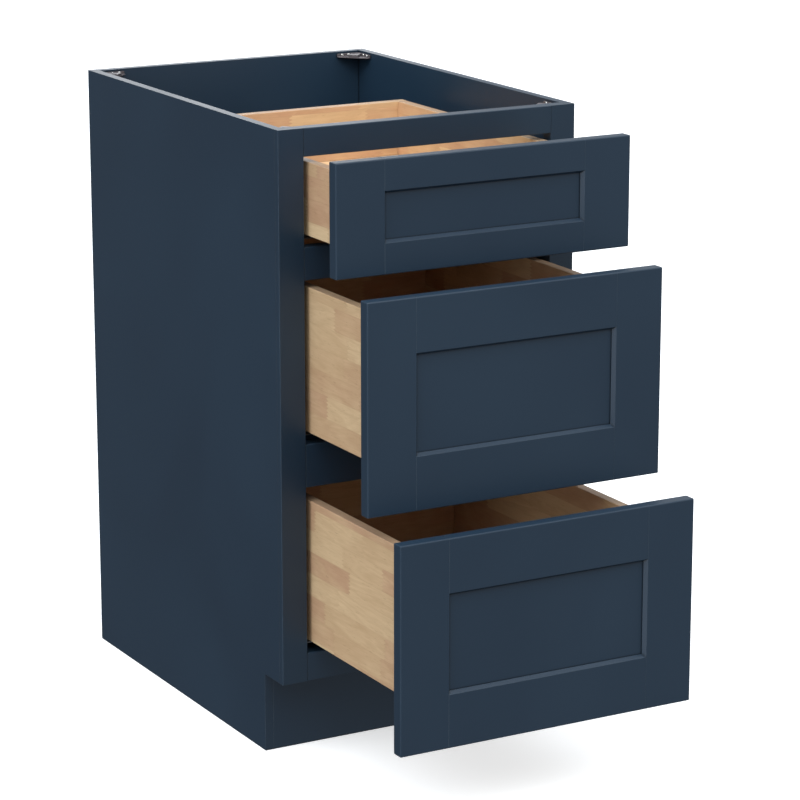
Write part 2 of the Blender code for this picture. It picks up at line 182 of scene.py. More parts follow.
def make_wood(name, along, across, through, stave=True, painted_light_lift=1.0):
    """Lacquered hardwood: short finger-jointed staves in rows, or one plain veneer."""
    material, tree, shader = new_material(name)
    place, axis = axes_of(tree)
    u, v, w = axis[along], axis[across], axis[through]
    seed = tree.node("ShaderNodeObjectInfo").outputs["Random"]
    seed = tree.math("MULTIPLY", seed, 173.0)
    row_height = STAVE_HEIGHT if stave else LEAF_WIDTH
    scaled = tree.math("ADD", tree.math("DIVIDE", v, row_height), seed)
    row = tree.math("FLOOR", scaled)
    shift = tree.random(tree.combine(row, seed, 3.0)).outputs["Value"]
    length = tree.random(tree.combine(row, 7.0, seed)).outputs["Value"]
    length = tree.remap(length, 0, 1, STAVE_SHORTEST, STAVE_LONGEST)
    if not stave:
        length = LEAF_LENGTH
    fingers = tree.math("MULTIPLY", tree.math("PINGPONG", v, FINGER_HALF_PITCH), FINGER_SLOPE)
    start = tree.math("ADD", tree.math("ADD", u, fingers), shift)
    cell = tree.math("DIVIDE", start, length)
    column = tree.math("FLOOR", cell)
    block = tree.random(tree.combine(row, column, seed))
    tone, hue = block.outputs["Value"], block.outputs["Color"]
    hue = tree.node("ShaderNodeSeparateColor", {0: hue}).outputs[0]

    # figure: each stave is cut from another place in the log
    moved = tree.math("MULTIPLY", tree.math("ADD", tone, tree.math("MULTIPLY", row, 0.37)), 31.0)
    shifted = tree.math("ADD", v, moved)
    log = tree.combine(tree.math("MULTIPLY", u, 0.16), shifted, w)
    figure = tree.noise(log, 34.0, 3.0, 0.5, 1.3)
    rings = tree.math("PINGPONG", tree.math("MULTIPLY", figure, 9.0), 1.0)
    long_u = tree.math("MULTIPLY", u, 0.035)
    fine = tree.noise(tree.combine(long_u, shifted, w), 950.0, 2.0, 0.6)
    flecks = tree.noise(tree.combine(tree.math("MULTIPLY", u, 0.10), v, w), 820.0, 1.0)
    fleck = tree.remap(flecks, 0.68, 0.76)

    # painted light and shade: painted_light_lift scales the whole wood to stand in for how light falls
    # on each board group
    pale = tuple(painted_light_lift * value for value in WOOD_PALE)
    tan = tuple(painted_light_lift * value for value in WOOD_TAN)
    pink = tuple(painted_light_lift * value for value in WOOD_PINK)
    base = tree.mix(tree.remap(tone, 0.0, 1.0), pale, tan)
    base = tree.mix(tree.remap(hue, 0.45, 0.80, 0.0, 0.70), base, pink)
    patch = tree.noise(tree.combine(tree.math("MULTIPLY", u, 0.45), shifted, w), 42.0)
    base = tree.mix(tree.remap(patch, 0.40, 0.70, 0.0, 0.35), base, WOOD_PALE)
    base = tree.mix(tree.remap(rings, 0.15, 1.0, 0.0, 0.24), base, WOOD_DARK)
    base = tree.mix(tree.remap(fine, 0.3, 0.75, 0.0, 0.22), base, WOOD_DARK)
    base = tree.mix(tree.math("MULTIPLY", fleck, 0.35), base, WOOD_FLECK)

    # glue lines between rows and at the fingers
    if stave:
        in_row = tree.math("MULTIPLY", tree.math("PINGPONG", scaled, 0.5), row_height)
        in_cell = tree.math("MULTIPLY", tree.math("PINGPONG", cell, 0.5), length)
        line_row = tree.remap(in_row, 0.10 * MM, 0.45 * MM, 1.0, 0.0)
        line_cell = tree.remap(in_cell, 0.15 * MM, 0.8 * MM, 1.0, 0.0)
        line = tree.math("MAXIMUM", line_row, line_cell)
        base = tree.mix(tree.math("MULTIPLY", line, 0.14), base, WOOD_FLECK)

    # end grain, on the faces that look along the grain
    facing = tree.node("ShaderNodeTexCoord").outputs["Normal"]
    facing = dict(zip("xyz", tree.node("ShaderNodeSeparateXYZ", {0: facing}).outputs))
    upward = facing["z"]
    end = tree.remap(tree.math("ABSOLUTE", facing[along]), 0.85, 0.95)
    pores = tree.noise(place, 1500.0, 2.0, 0.7)
    end_colour = tree.mix(tree.remap(pores, 0.35, 0.65), WOOD_END, WOOD_DARK)
    base = tree.mix(end, base, end_colour)

    mask, rounded = edge_mask(tree, 0.8 * MM)
    # painted highlight: a paler tone along the edges, standing in for the light the eased edges catch
    base = tree.mix(tree.math("MULTIPLY", mask, 0.15), base, WOOD_EDGE_HIGHLIGHT)
    # painted shade: faces that look up, the top edges of the staves, go darker brown by an amount that
    # varies with the fine grain, standing in for shade from the drawer above
    if stave:
        top_shade_share = tree.remap(fine, 0.3, 0.7, 0.45, 0.85)
        top_shade = tree.math("MULTIPLY", tree.remap(upward, 0.7, 0.95), top_shade_share)
        base = tree.mix(top_shade, base, WOOD_TOP_SHADE)
    tree.put(shader.inputs["Base Color"], base)
    tree.put(shader.inputs["Roughness"], tree.remap(fine, 0.25, 0.8, 0.40, 0.56))
    tree.put(shader.inputs["Specular IOR Level"], 0.4)
    normal = tree.bump(fine, 0.05 * MM, 0.6, rounded)
    if stave:
        normal = tree.bump(line, -0.03 * MM, 0.5, normal)
    tree.put(shader.inputs["Normal"], normal)
    return material


def make_steel(name, along, shade, roughness):
    """Bright zinc plate, drawn along one axis."""
    material, tree, shader = new_material(name, Metallic=1.0)
    place, axis = axes_of(tree)
    drawn = {letter: axis[letter] for letter in "xyz"}
    drawn[along] = tree.math("MULTIPLY", axis[along], 0.03)
    lines = tree.noise(tree.combine(drawn["x"], drawn["y"], drawn["z"]), 1400.0, 2.0, 0.6)
    spangle = tree.node("ShaderNodeTexVoronoi", {"Vector": place, "Scale": 210.0}).outputs["Color"]
    spangle = tree.node("ShaderNodeSeparateColor", {0: spangle}).outputs[0]
    cloud = tree.noise(place, 22.0, 3.0)
    base = tree.mix(tree.remap(cloud, 0.3, 0.7), tuple(0.86 * v for v in shade), shade)
    base = tree.mix(tree.math("MULTIPLY", spangle, 0.12), base, ZINC_SPANGLE)
    mask, rounded = edge_mask(tree, 0.5 * MM)
    # painted highlight: a near-white tone along the edges, standing in for glints on bends and cut
    # edges
    base = tree.mix(tree.math("MULTIPLY", mask, 0.5), base, ZINC_EDGE_GLINT)
    tree.put(shader.inputs["Base Color"], base)
    drawn_rough = tree.remap(lines, 0.3, 0.7, -0.05, 0.06)
    rough = tree.math("ADD", drawn_rough, tree.remap(cloud, 0.3, 0.7, -0.03, 0.03))
    tree.put(shader.inputs["Roughness"], tree.math("ADD", rough, roughness))
    tree.put(shader.inputs["Normal"], tree.bump(lines, 0.02 * MM, 0.5, rounded))
    return material


def make_plastic(name, shade, roughness, grain=900.0):
    """Moulded plastic with a fine spark-eroded grain."""
    material, tree, shader = new_material(name)
    place, _ = axes_of(tree)
    fine = tree.noise(place, grain, 2.0, 0.6)
    cloud = tree.noise(place, 60.0, 2.0)
    base = tree.mix(tree.remap(cloud, 0.3, 0.7), tuple(0.88 * v for v in shade), shade)
    mask, rounded = edge_mask(tree, 0.45 * MM)
    # painted highlight: edges go paler, standing in for the light caught on rims and rounded edges
    base = tree.mix(tree.math("MULTIPLY", mask, 0.4), base, tuple(min(1.0, 1.6 * v) for v in shade))
    tree.put(shader.inputs["Base Color"], base)
    tree.put(shader.inputs["Roughness"], tree.remap(fine, 0.3, 0.7, roughness - 0.05, roughness + 0.07))
    tree.put(shader.inputs["Normal"], tree.bump(fine, 0.06 * MM, 0.4, rounded))
    return material


NAVY = (0.0100, 0.0278, 0.0530)
# navy for the edges: partly worn paint, partly a painted highlight
WORN_AND_HIGHLIT_NAVY = (0.085, 0.120, 0.145)
STAVE_HEIGHT = 31.0 * MM
STAVE_SHORTEST = 85.0 * MM
STAVE_LONGEST = 190.0 * MM
FINGER_HALF_PITCH = 2.6 * MM
FINGER_SLOPE = 2.4
LEAF_WIDTH = 400.0 * MM
LEAF_LENGTH = 3.0
WOOD_PALE = (0.720, 0.525, 0.310)
WOOD_TAN = (0.470, 0.285, 0.150)
WOOD_PINK = (0.560, 0.335, 0.210)
WOOD_DARK = (0.400, 0.235, 0.120)
WOOD_FLECK = (0.230, 0.120, 0.058)
WOOD_END = (0.520, 0.340, 0.185)
# painted highlight colour for the wood's edges
WOOD_EDGE_HIGHLIGHT = (0.720, 0.540, 0.350)
# painted shade colour for the wood's upward faces
WOOD_TOP_SHADE = (0.290, 0.200, 0.135)
ZINC = (0.40, 0.41, 0.42)
ZINC_SPANGLE = (0.86, 0.87, 0.88)
# painted glint colour for the zinc's edges
ZINC_EDGE_GLINT = (0.88, 0.88, 0.87)
SCREW_ZINC = (0.66, 0.66, 0.64)

PAINT = {axis: make_paint("navy_paint_" + axis, axis, NAVY) for axis in "xyz"}
# painted light and shade: the box sides, which face the lamps, a shade darker; the bottoms, down in the
# boxes, a shade lighter
WOOD_SIDE = make_wood("box_wood_sides", "y", "z", "x", painted_light_lift=0.96)
WOOD_FRONT = make_wood("box_wood_ends", "x", "z", "y", painted_light_lift=1.0)
WOOD_PANEL = make_wood("box_wood_bottom", "y", "x", "z", stave=False, painted_light_lift=1.06)
STEEL = make_steel("zinc_steel", "y", ZINC, 0.38)
SCREW_STEEL = make_steel("screw_steel", "z", SCREW_ZINC, 0.26)
GREY = make_plastic("grey_plastic", (0.085, 0.075, 0.082), 0.36)
WHITE_NYLON = make_plastic("white_nylon", (0.72, 0.72, 0.69), 0.38)
CLEAR_PAD = make_plastic("bumper_pad", (0.62, 0.64, 0.64), 0.30, 400.0)
FILLER = make_plastic("brad_filler", (0.020, 0.040, 0.070), 0.55)


# ---------------------------------------------------------------- materials on the CAD nodes


def paint_of(node):
    """The paint whose grain runs the long way of the board."""
    low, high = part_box(node)
    size = high - low
    longest = max(range(3), key=lambda i: size[i])
    return PAINT["xyz"[longest]]


def dress(node, material):
    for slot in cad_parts[node].material_slots:
        slot.material = material


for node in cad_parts:
    if "_box_bottom" in node:
        dress(node, WOOD_PANEL)
    elif "_box_side" in node:
        dress(node, WOOD_SIDE)
    elif "_box_" in node:
        dress(node, WOOD_FRONT)
    elif node.startswith("slide_"):
        dress(node, STEEL)
    elif node.startswith("corner_brace"):
        dress(node, GREY)
    else:
        dress(node, paint_of(node))


# ---------------------------------------------------------------- shapes


def rounded_path(points, radius, steps=5):
    """An open path whose inner corners are arcs."""
    points = [Vector(point) for point in points]
    path = [points[0]]
    for before, corner, after in zip(points, points[1:], points[2:]):
        back = (before - corner).normalized()
        on = (after - corner).normalized()
        half = back.angle(on) / 2
        centre = corner + (back + on).normalized() * radius / math.sin(half)
        first = corner + back * radius / math.tan(half) - centre
        last = corner + on * radius / math.tan(half) - centre
        start = math.atan2(first.y, first.x)
        turn = (math.atan2(last.y, last.x) - start + math.pi) % (2 * math.pi) - math.pi
        for step in range(steps + 1):
            angle = start + turn * step / steps
            path.append(centre + Vector((math.cos(angle), math.sin(angle))) * radius)
    path.append(points[-1])
    return path


def rounded_outline(points, radius, steps=4):
    """A closed outline whose corners are arcs."""
    middle = (Vector(points[0]) + Vector(points[-1])) / 2
    return rounded_path([middle, *points, middle], radius, steps)[1:-1]


def strip_outline(path, thickness):
    """The outline of a strip that follows a path."""
    left, right = [], []
    for index, point in enumerate(path):
        way = (path[min(index + 1, len(path) - 1)] - path[max(index - 1, 0)]).normalized()
        aside = Vector((-way.y, way.x)) * thickness / 2
        left.append(point + aside)
        right.append(point - aside)
    return left + right[::-1]


def prism(outline, low, high, axis="z"):
    """A closed solid: an outline in (x, y), (y, z) or (x, z) drawn along z, x or y."""
    place = {
        "z": lambda a, b, c: (a, b, c),
        "x": lambda a, b, c: (c, a, b),
        "y": lambda a, b, c: (a, c, b),
    }[axis]
    bm = bmesh.new()
    first, second = ([bm.verts.new(place(a, b, level)) for a, b in outline] for level in (low, high))
    bm.faces.new(first)
    bm.faces.new(second[::-1])
    for index in range(len(outline)):
        bm.faces.new((first[index - 1], second[index - 1], second[index], first[index]))
    bmesh.ops.recalc_face_normals(bm, faces=bm.faces)
    return bm


def rod(middle, axis, radius, length, segments=24):
    """A closed cylinder."""
    bm = bmesh.new()
    bmesh.ops.create_cone(
        bm, cap_ends=True, segments=segments, radius1=radius, radius2=radius, depth=length
    )
    turn = Vector((0, 0, 1)).rotation_difference(Vector(axis)).to_matrix().to_4x4()
    bmesh.ops.transform(bm, matrix=Matrix.Translation(middle) @ turn, verts=bm.verts)
    return bm


def turned(profile, segments=20):
    """A closed solid turned about z from a profile in (radius, height) that meets the axis."""
    bm = bmesh.new()
    points = [bm.verts.new((r, 0, z)) for r, z in profile]
    edges = [bm.edges.new(pair) for pair in zip(points, points[1:])]
    bmesh.ops.spin(
        bm, geom=points + edges, cent=(0, 0, 0), axis=(0, 0, 1), angle=2 * math.pi, steps=segments
    )
    bmesh.ops.remove_doubles(bm, verts=bm.verts, dist=0.000002)
    bmesh.ops.recalc_face_normals(bm, faces=bm.faces)
    return bm


def gather(shapes):
    """Several bmeshes in one, side by side."""
    bm = bmesh.new()
    for shape in shapes:
        mesh = bpy.data.meshes.new("gathered")
        shape.to_mesh(mesh)
        shape.free()
        bm.from_mesh(mesh)
        bpy.data.meshes.remove(mesh)
    return bm


def boolean(first, second, operation="DIFFERENCE"):
    """The bmesh that a Boolean of two closed bmeshes leaves."""
    made = []
    for shape in (first, second):
        mesh = bpy.data.meshes.new("shape")
        shape.to_mesh(mesh)
        shape.free()
        made.append(bpy.data.objects.new("shape", mesh))
        SCENE.collection.objects.link(made[-1])
    modifier = made[0].modifiers.new("boolean", "BOOLEAN")
    modifier.operation = operation
    modifier.solver = "EXACT"
    modifier.object = made[1]
    graph = bpy.context.evaluated_depsgraph_get()
    mesh = bpy.data.meshes.new_from_object(made[0].evaluated_get(graph))
    result = bmesh.new()
    result.from_mesh(mesh)
    bpy.data.meshes.remove(mesh)
    for obj in made:
        mesh = obj.data
        bpy.data.objects.remove(obj)
        bpy.data.meshes.remove(mesh)
    bmesh.ops.remove_doubles(result, verts=result.verts, dist=0.000002)
    return result


def copies(template, places):
    """One bmesh with a copy of the template at each place, each turned a little further."""
    mesh = bpy.data.meshes.new("template")
    template.to_mesh(mesh)
    template.free()
    bm = bmesh.new()
    for index, (spot, outwards) in enumerate(places):
        before = len(bm.verts)
        bm.from_mesh(mesh)
        bm.verts.ensure_lookup_table()
        aim = Vector((0, 0, 1)).rotation_difference(Vector(outwards)).to_matrix().to_4x4()
        turn = Matrix.Rotation(index * 0.73, 4, "Z")
        matrix = Matrix.Translation(spot) @ aim @ turn
        bmesh.ops.transform(bm, matrix=matrix, verts=bm.verts[before:])
    bpy.data.meshes.remove(mesh)
    return bm


def add_piece(name, bm, material, body, bevel=0.0, smooth=40.0):
    """One shown piece, built where it belongs in the row frame, on a body."""
    mesh = bpy.data.meshes.new(name)
    bm.to_mesh(mesh)
    bm.free()
    mesh.shade_smooth()
    mesh.set_sharp_from_angle(angle=math.radians(smooth))
    mesh.materials.append(material)
    piece = bpy.data.objects.new(name, mesh)
    SCENE.collection.objects.link(piece)
    if bevel:
        modifier = piece.modifiers.new("bevel", "BEVEL")
        modifier.width = bevel
        modifier.segments = 2
        modifier.limit_method = "ANGLE"
        modifier.angle_limit = math.radians(50)
    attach(piece, body)
    return piece


def screw_head(radius, height, washer=0.0):
    """A pan head with a cross recess, standing on z = 0, on a flange if it has one."""
    rise = [(0.0, 1.0), (0.35, 0.98), (0.62, 0.88), (0.84, 0.66), (0.97, 0.34), (1.0, 0.05)]
    profile = [(radius * r, height * z) for r, z in rise]
    if washer:
        profile += [(washer * 0.96, height * 0.16), (washer, height * 0.08)]
    profile += [(max(washer, radius), -0.2 * MM), (0.0, -0.2 * MM)]
    head = turned(profile)
    slots = []
    for along in (0, 1):
        size = [0.24 * radius, 1.05 * radius] if along else [1.05 * radius, 0.24 * radius]
        outline = [(-size[0], -size[1]), (size[0], -size[1]), (size[0], size[1]), (-size[0], size[1])]
        outline = [(a * 0.5, b * 0.5) for a, b in outline]
        slots.append(prism(outline, height * 0.35 + along * 0.01 * MM, height * 1.5))
    cross = boolean(slots[0], slots[1], "UNION")
    return boolean(head, cross)


# ---------------------------------------------------------------- glued and painted joints

ASSEMBLY_GAP = 0.27 * MM
JOINT_REACH = 12.0 * MM


def close_joints(node):
    """A painted board that reaches the boards at its two ends, where the solid keeps a gap."""
    low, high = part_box(node)
    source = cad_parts[node]
    bm = bmesh.new()
    bm.from_mesh(source.data)
    for vertex in bm.verts:
        if vertex.co.x < low.x + JOINT_REACH:
            vertex.co.x -= ASSEMBLY_GAP
        elif vertex.co.x > high.x - JOINT_REACH:
            vertex.co.x += ASSEMBLY_GAP
    drawer = node.split("_front_")[0]
    body = drawer if "_front_" in node else CABINET
    piece = add_piece(node + "_fitted", bm, paint_of(node), body, smooth=30.0)
    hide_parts(node)


# ---------------------------------------------------------------- corner braces

BRACE_LEG = 38.0 * MM
BRACE_TIP = 6.0 * MM
BRACE_FLOOR = 1.4 * MM
BRACE_FLANGE = 2.4 * MM
PAD_HALF_WIDTH = 7.4 * MM
BRACE_SCREWS = (19.0 * MM, 30.0 * MM)
DISH_HALF_WIDTH = 4.0 * MM
DISH_START = 9.0 * MM
DISH_END = 24.0 * MM


def along_brace(aside, along):
    """The point that far from the corner's diagonal, and that far along it."""
    return Vector((along - aside, along + aside)) / math.sqrt(2)


def brace_shape(thickness):
    """The moulded brace in its own corner, top at z = 0: flanges along both walls and a middle pad."""
    outline = [(0, 0), (BRACE_LEG, 0), (BRACE_LEG, BRACE_TIP), (BRACE_TIP, BRACE_LEG), (0, BRACE_LEG)]
    body = prism(rounded_outline([Vector(point) for point in outline], 1.2 * MM), -thickness, 0.0)
    wells = []
    for way in (-1, 1):
        reach = BRACE_FLANGE + math.sqrt(2) * PAD_HALF_WIDTH
        inner = [Vector((reach, BRACE_FLANGE)), Vector((BRACE_LEG + MM, BRACE_FLANGE))]
        inner += [Vector((BRACE_LEG + MM, BRACE_LEG)), along_brace(-PAD_HALF_WIDTH, 1.2 * BRACE_LEG)]
        if way > 0:
            inner = [point.yx for point in inner[::-1]]
        wells.append(prism(rounded_outline(inner, 0.8 * MM), BRACE_FLOOR - thickness, 1.0 * MM))
    dish = [along_brace(-DISH_HALF_WIDTH, DISH_START), along_brace(DISH_HALF_WIDTH, DISH_START)]
    dish += [along_brace(DISH_HALF_WIDTH, DISH_END), along_brace(-DISH_HALF_WIDTH, DISH_END)]
    dish = prism(rounded_outline(dish, 1.5 * MM), -0.5 * MM, 1.0 * MM)
    return boolean(body, gather(wells + [dish]))


def make_braces():
    corners = {
        "front_left": (0, 0),
        "front_right": (1, 0),
        "back_right": (1, 1),
        "back_left": (0, 1),
    }
    screws = []
    for turns, (word, (right, back)) in enumerate(corners.items()):
        node = "corner_brace_" + word
        low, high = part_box(node)
        corner = Vector((high.x if right else low.x, high.y if back else low.y, high.z))
        turn = Matrix.Rotation(turns * math.pi / 2, 4, "Z")
        bm = brace_shape(high.z - low.z)
        bmesh.ops.transform(bm, matrix=Matrix.Translation(corner) @ turn, verts=bm.verts)
        piece = add_piece("brace_" + word, bm, GREY, CABINET, bevel=0.25 * MM)
        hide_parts(node)
        middle = BRACE_FLOOR / 2 - (high.z - low.z) / 2
        for along in BRACE_SCREWS:
            walls = (((along, BRACE_FLANGE), (0, 1, 0)), ((BRACE_FLANGE, along), (1, 0, 0)))
            for spot, outwards in walls:
                spot = corner + turn @ Vector((*spot, middle))
                screws.append((spot, turn @ Vector(outwards)))
    bm = copies(screw_head(1.9 * MM, 1.1 * MM), screws)
    add_piece("brace_screws", bm, SCREW_STEEL, CABINET)


# ---------------------------------------------------------------- slides

STEEL_THICKNESS = 1.5 * MM
UPSTAND_RISE = 13.2 * MM
UPSTAND_SETBACK = 12.0 * MM
WEB_SETBACK = 9.0 * MM
RAIL_SCREW_SETBACK = 4.6 * MM
RAIL_SCREW_RISES = (10.0 * MM, 20.0 * MM)
SLOT_PITCH = 64.0 * MM
FIRST_SLOT = 45.0 * MM
ROW_STAGGER = 30.0 * MM
ROLLER_SHARES = (0.55, 0.70, 0.84, 0.97)
ROLLER_HALF_WIDTH = 3.5 * MM
RUNNER_SLOTS = 7
RUNNER_FIRST_SLOT = 50.0 * MM
RUNNER_PITCH = 68.0 * MM


def slotted(spot, length, width, axes, depth):
    """A cutter for a round-ended slot that runs along y."""
    half = length / 2 - width / 2
    radius = width / 2
    steps = 8
    outline = []
    for end in (1, -1):
        for step in range(steps + 1):
            angle = end * math.pi / 2 - math.pi * step / steps * end
            outline.append((half * end + math.cos(angle) * radius * end, math.sin(angle) * radius))
    if axes == "web":
        outline = [(spot[0] + b, spot[1] + a) for a, b in outline]
        return prism(outline, spot[2] - depth, spot[2] + depth, "z")
    outline = [(spot[1] + a, spot[2] + b) for a, b in outline]
    return prism(outline, spot[0] - depth, spot[0] + depth, "x")


def make_cabinet_member(drawer, word, side):
    """A folded steel channel: flange, web and upstand, with rounded bends and punched slots."""
    node = "slide_" + drawer + "_cabinet_member_" + word
    low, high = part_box(node)
    half = STEEL_THICKNESS / 2
    outer, inner = (high.x - half, low.x + half) if side > 0 else (low.x + half, high.x - half)
    web = low.z + half
    path = [(outer, high.z), (outer, web), (inner, web), (inner, web + UPSTAND_RISE)]
    section = strip_outline(rounded_path(path, 2.2 * MM), STEEL_THICKNESS)
    bm = prism(section, low.y, high.y, "y")
    cutters = []
    middle = (outer + inner) / 2
    flange_z = web + 15.0 * MM
    count = int((high.y - low.y - 2 * ROW_STAGGER) / SLOT_PITCH)
    for index in range(count):
        y = low.y + FIRST_SLOT + index * SLOT_PITCH
        cutters.append(slotted((middle, y, web), 18 * MM, 5 * MM, "web", 2 * MM))
        spot = (outer, y + ROW_STAGGER, flange_z)
        cutters.append(slotted(spot, 9 * MM, 4.4 * MM, "flange", 2 * MM))
    relief = [(low.y - MM, web + 3 * MM), (low.y + UPSTAND_SETBACK, web + 3 * MM)]
    relief += [(low.y + UPSTAND_SETBACK + 6 * MM, high.z), (low.y - MM, high.z)]
    cutters.append(prism(relief, inner - 3 * MM, inner + 3 * MM, "x"))
    tab = outer - side * 3.0 * MM
    notch = [(inner - side * 3 * MM, low.y - MM), (tab, low.y - MM)]
    notch += [(tab, low.y + WEB_SETBACK), (inner - side * 3 * MM, low.y + WEB_SETBACK)]
    bm = boolean(bm, gather(cutters))
    bm = boolean(bm, prism(notch, low.z - MM, high.z + MM))
    piece = add_piece(node.replace("slide_", "rail_"), bm, STEEL, CABINET)
    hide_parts(node)


def make_drawer_member(drawer, word, side):
    """An inverted channel with rounded bends and rows of punched slots in its top and one lip."""
    node = "slide_" + drawer + "_drawer_member_" + word
    low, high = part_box(node)
    half = STEEL_THICKNESS / 2
    top = high.z - half
    path = [(low.x + half, low.z), (low.x + half, top), (high.x - half, top), (high.x - half, low.z)]
    section = strip_outline(rounded_path(path, 2.0 * MM), STEEL_THICKNESS)
    bm = prism(section, low.y, high.y, "y")
    cutters = []
    middle = (low.x + high.x) / 2
    for index in range(RUNNER_SLOTS):
        y = low.y + RUNNER_FIRST_SLOT + index * RUNNER_PITCH
        cutters.append(slotted((middle, y, top), 12 * MM, 4.5 * MM, "web", 2 * MM))
        spot = (low.x + half, y + ROW_STAGGER, low.z + 3.6 * MM)
        cutters.append(slotted(spot, 7 * MM, 2.6 * MM, "flange", 2 * MM))
    bm = boolean(bm, gather(cutters))
    body = "drawer_" + drawer
    piece = add_piece(node.replace("slide_", "runner_"), bm, STEEL, body)
    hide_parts(node)


def roller_shape(radius, half_width):
    """A wheel about z: a hub that stands proud, a dished face and a grooved tread."""
    face = [(0.0, 1.0), (0.34, 1.0), (0.38, 0.70), (0.70, 0.64), (0.76, 0.90)]
    face += [(0.94, 0.86), (1.0, 0.70), (1.0, 0.34), (0.92, 0.22)]
    upper = [(radius * r, half_width * z) for r, z in face]
    lower = [(r, -z) for r, z in upper[::-1]]
    return turned(upper + lower, 24)


def make_rollers(drawer):
    """Nylon rollers that carry each runner on its rail's upstand."""
    spots = []
    for word, side in SIDES.items():
        runner_low, runner_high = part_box("slide_" + drawer + "_drawer_member_" + word)
        rail_low, rail_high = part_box("slide_" + drawer + "_cabinet_member_" + word)
        x = (rail_low.x if side > 0 else rail_high.x) + side * STEEL_THICKNESS / 2
        z = rail_low.z + STEEL_THICKNESS / 2 + UPSTAND_RISE
        ceiling = runner_high.z - STEEL_THICKNESS
        radius = (ceiling - z) / 2 - 0.1 * MM
        length = runner_high.y - runner_low.y
        for share in ROLLER_SHARES:
            spots.append(((x, runner_low.y + share * length, (ceiling + z) / 2), (side, 0, 0)))
    bm = copies(roller_shape(radius, ROLLER_HALF_WIDTH), spots)
    add_piece("rollers_" + drawer, bm, WHITE_NYLON, "drawer_" + drawer)


SOCKET_PLATE = ((-23, -13), (23, -13), (23, 31), (-23, 31))
SOCKET_SLEEVE = ((-22.6, -3.6), (22.6, -3.6), (22.6, 3.4), (-22.6, 3.4))
SOCKET_POCKET = ((-19.6, -0.3), (19.6, -0.3), (19.6, 1.8), (-19.6, 1.8))
SOCKET_LEFT_EAR = ((-21.4, 1.0), (-17.4, 1.0), (-17.4, 6.0), (-21.4, 6.0))
SOCKET_RIGHT_EAR = ((17.4, 1.0), (21.4, 1.0), (21.4, 6.0), (17.4, 6.0))
SOCKET_SCREWS = (-16, 0, 16)
SOCKET_SCREW_RISE = 20.0 * MM
PLATE_THICKNESS = 3.0 * MM


def set_out(points, across, along, side=1):
    """An outline given in millimetres from a place, mirrored when the side is -1."""
    return [Vector((across + side * a * MM, along + b * MM)) for a, b in points]


def make_sockets():
    """Moulded brackets on the back panel that hold the rear ends of the rails."""
    back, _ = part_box("back_panel")
    shapes, screws = [], []
    for drawer in DRAWERS:
        for word in SIDES:
            low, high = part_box("slide_" + drawer + "_cabinet_member_" + word)
            middle = (low.x + high.x) / 2
            z = low.z
            outline = rounded_outline(set_out(SOCKET_PLATE, middle, z), 4 * MM)
            plate = prism(outline, back.y - PLATE_THICKNESS, back.y - 0.1 * MM, "y")
            outline = rounded_outline(set_out(SOCKET_SLEEVE, middle, z), 1.5 * MM)
            sleeve = prism(outline, high.y - 9 * MM, back.y - 1 * MM, "y")
            opening = None
            for points in (SOCKET_POCKET, SOCKET_LEFT_EAR, SOCKET_RIGHT_EAR):
                outline = set_out(points, middle, z)
                hollow = prism(outline, high.y - 12 * MM, high.y + 1 * MM, "y")
                opening = boolean(opening, hollow, "UNION") if opening is not None else hollow
            shapes.append(boolean(plate, boolean(sleeve, opening), "UNION"))
            for a in SOCKET_SCREWS:
                spot = (middle + a * MM, back.y - PLATE_THICKNESS, z + SOCKET_SCREW_RISE)
                screws.append((spot, (0, -1, 0)))
    add_piece("slide_sockets", gather(shapes), GREY, CABINET, bevel=0.3 * MM)
    bm = copies(screw_head(3.6 * MM, 1.9 * MM), screws)
    add_piece("socket_screws", bm, SCREW_STEEL, CABINET)


def make_rail_screws():
    """Screws through each rail's flange into the edge of the face frame's stile."""
    spots = []
    for drawer in DRAWERS:
        for word, side in SIDES.items():
            low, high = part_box("slide_" + drawer + "_cabinet_member_" + word)
            x = (high.x - STEEL_THICKNESS) if side > 0 else (low.x + STEEL_THICKNESS)
            for rise in RAIL_SCREW_RISES:
                spots.append(((x, low.y + RAIL_SCREW_SETBACK, low.z + rise), (-side, 0, 0)))
    bm = copies(screw_head(3.0 * MM, 1.3 * MM), spots)
    add_piece("rail_screws", bm, SCREW_STEEL, CABINET)


CLIP_BODY = ((1.0, 1.5), (19.0, 1.5), (24.0, 14.0), (24.0, 40.0), (12.0, 56.0), (1.0, 56.0))
CLIP_LEVER = ((8.0, 1.2), (30.0, 1.2), (34.0, 5.0), (34.0, 9.0), (14.0, 16.0), (8.0, 16.0))
CLIP_WELL = ((5.0, 22.0), (19.0, 22.0), (19.0, 36.0), (5.0, 36.0))
CLIP_DROP = 9.5 * MM
WELL_DROP = 6.5 * MM


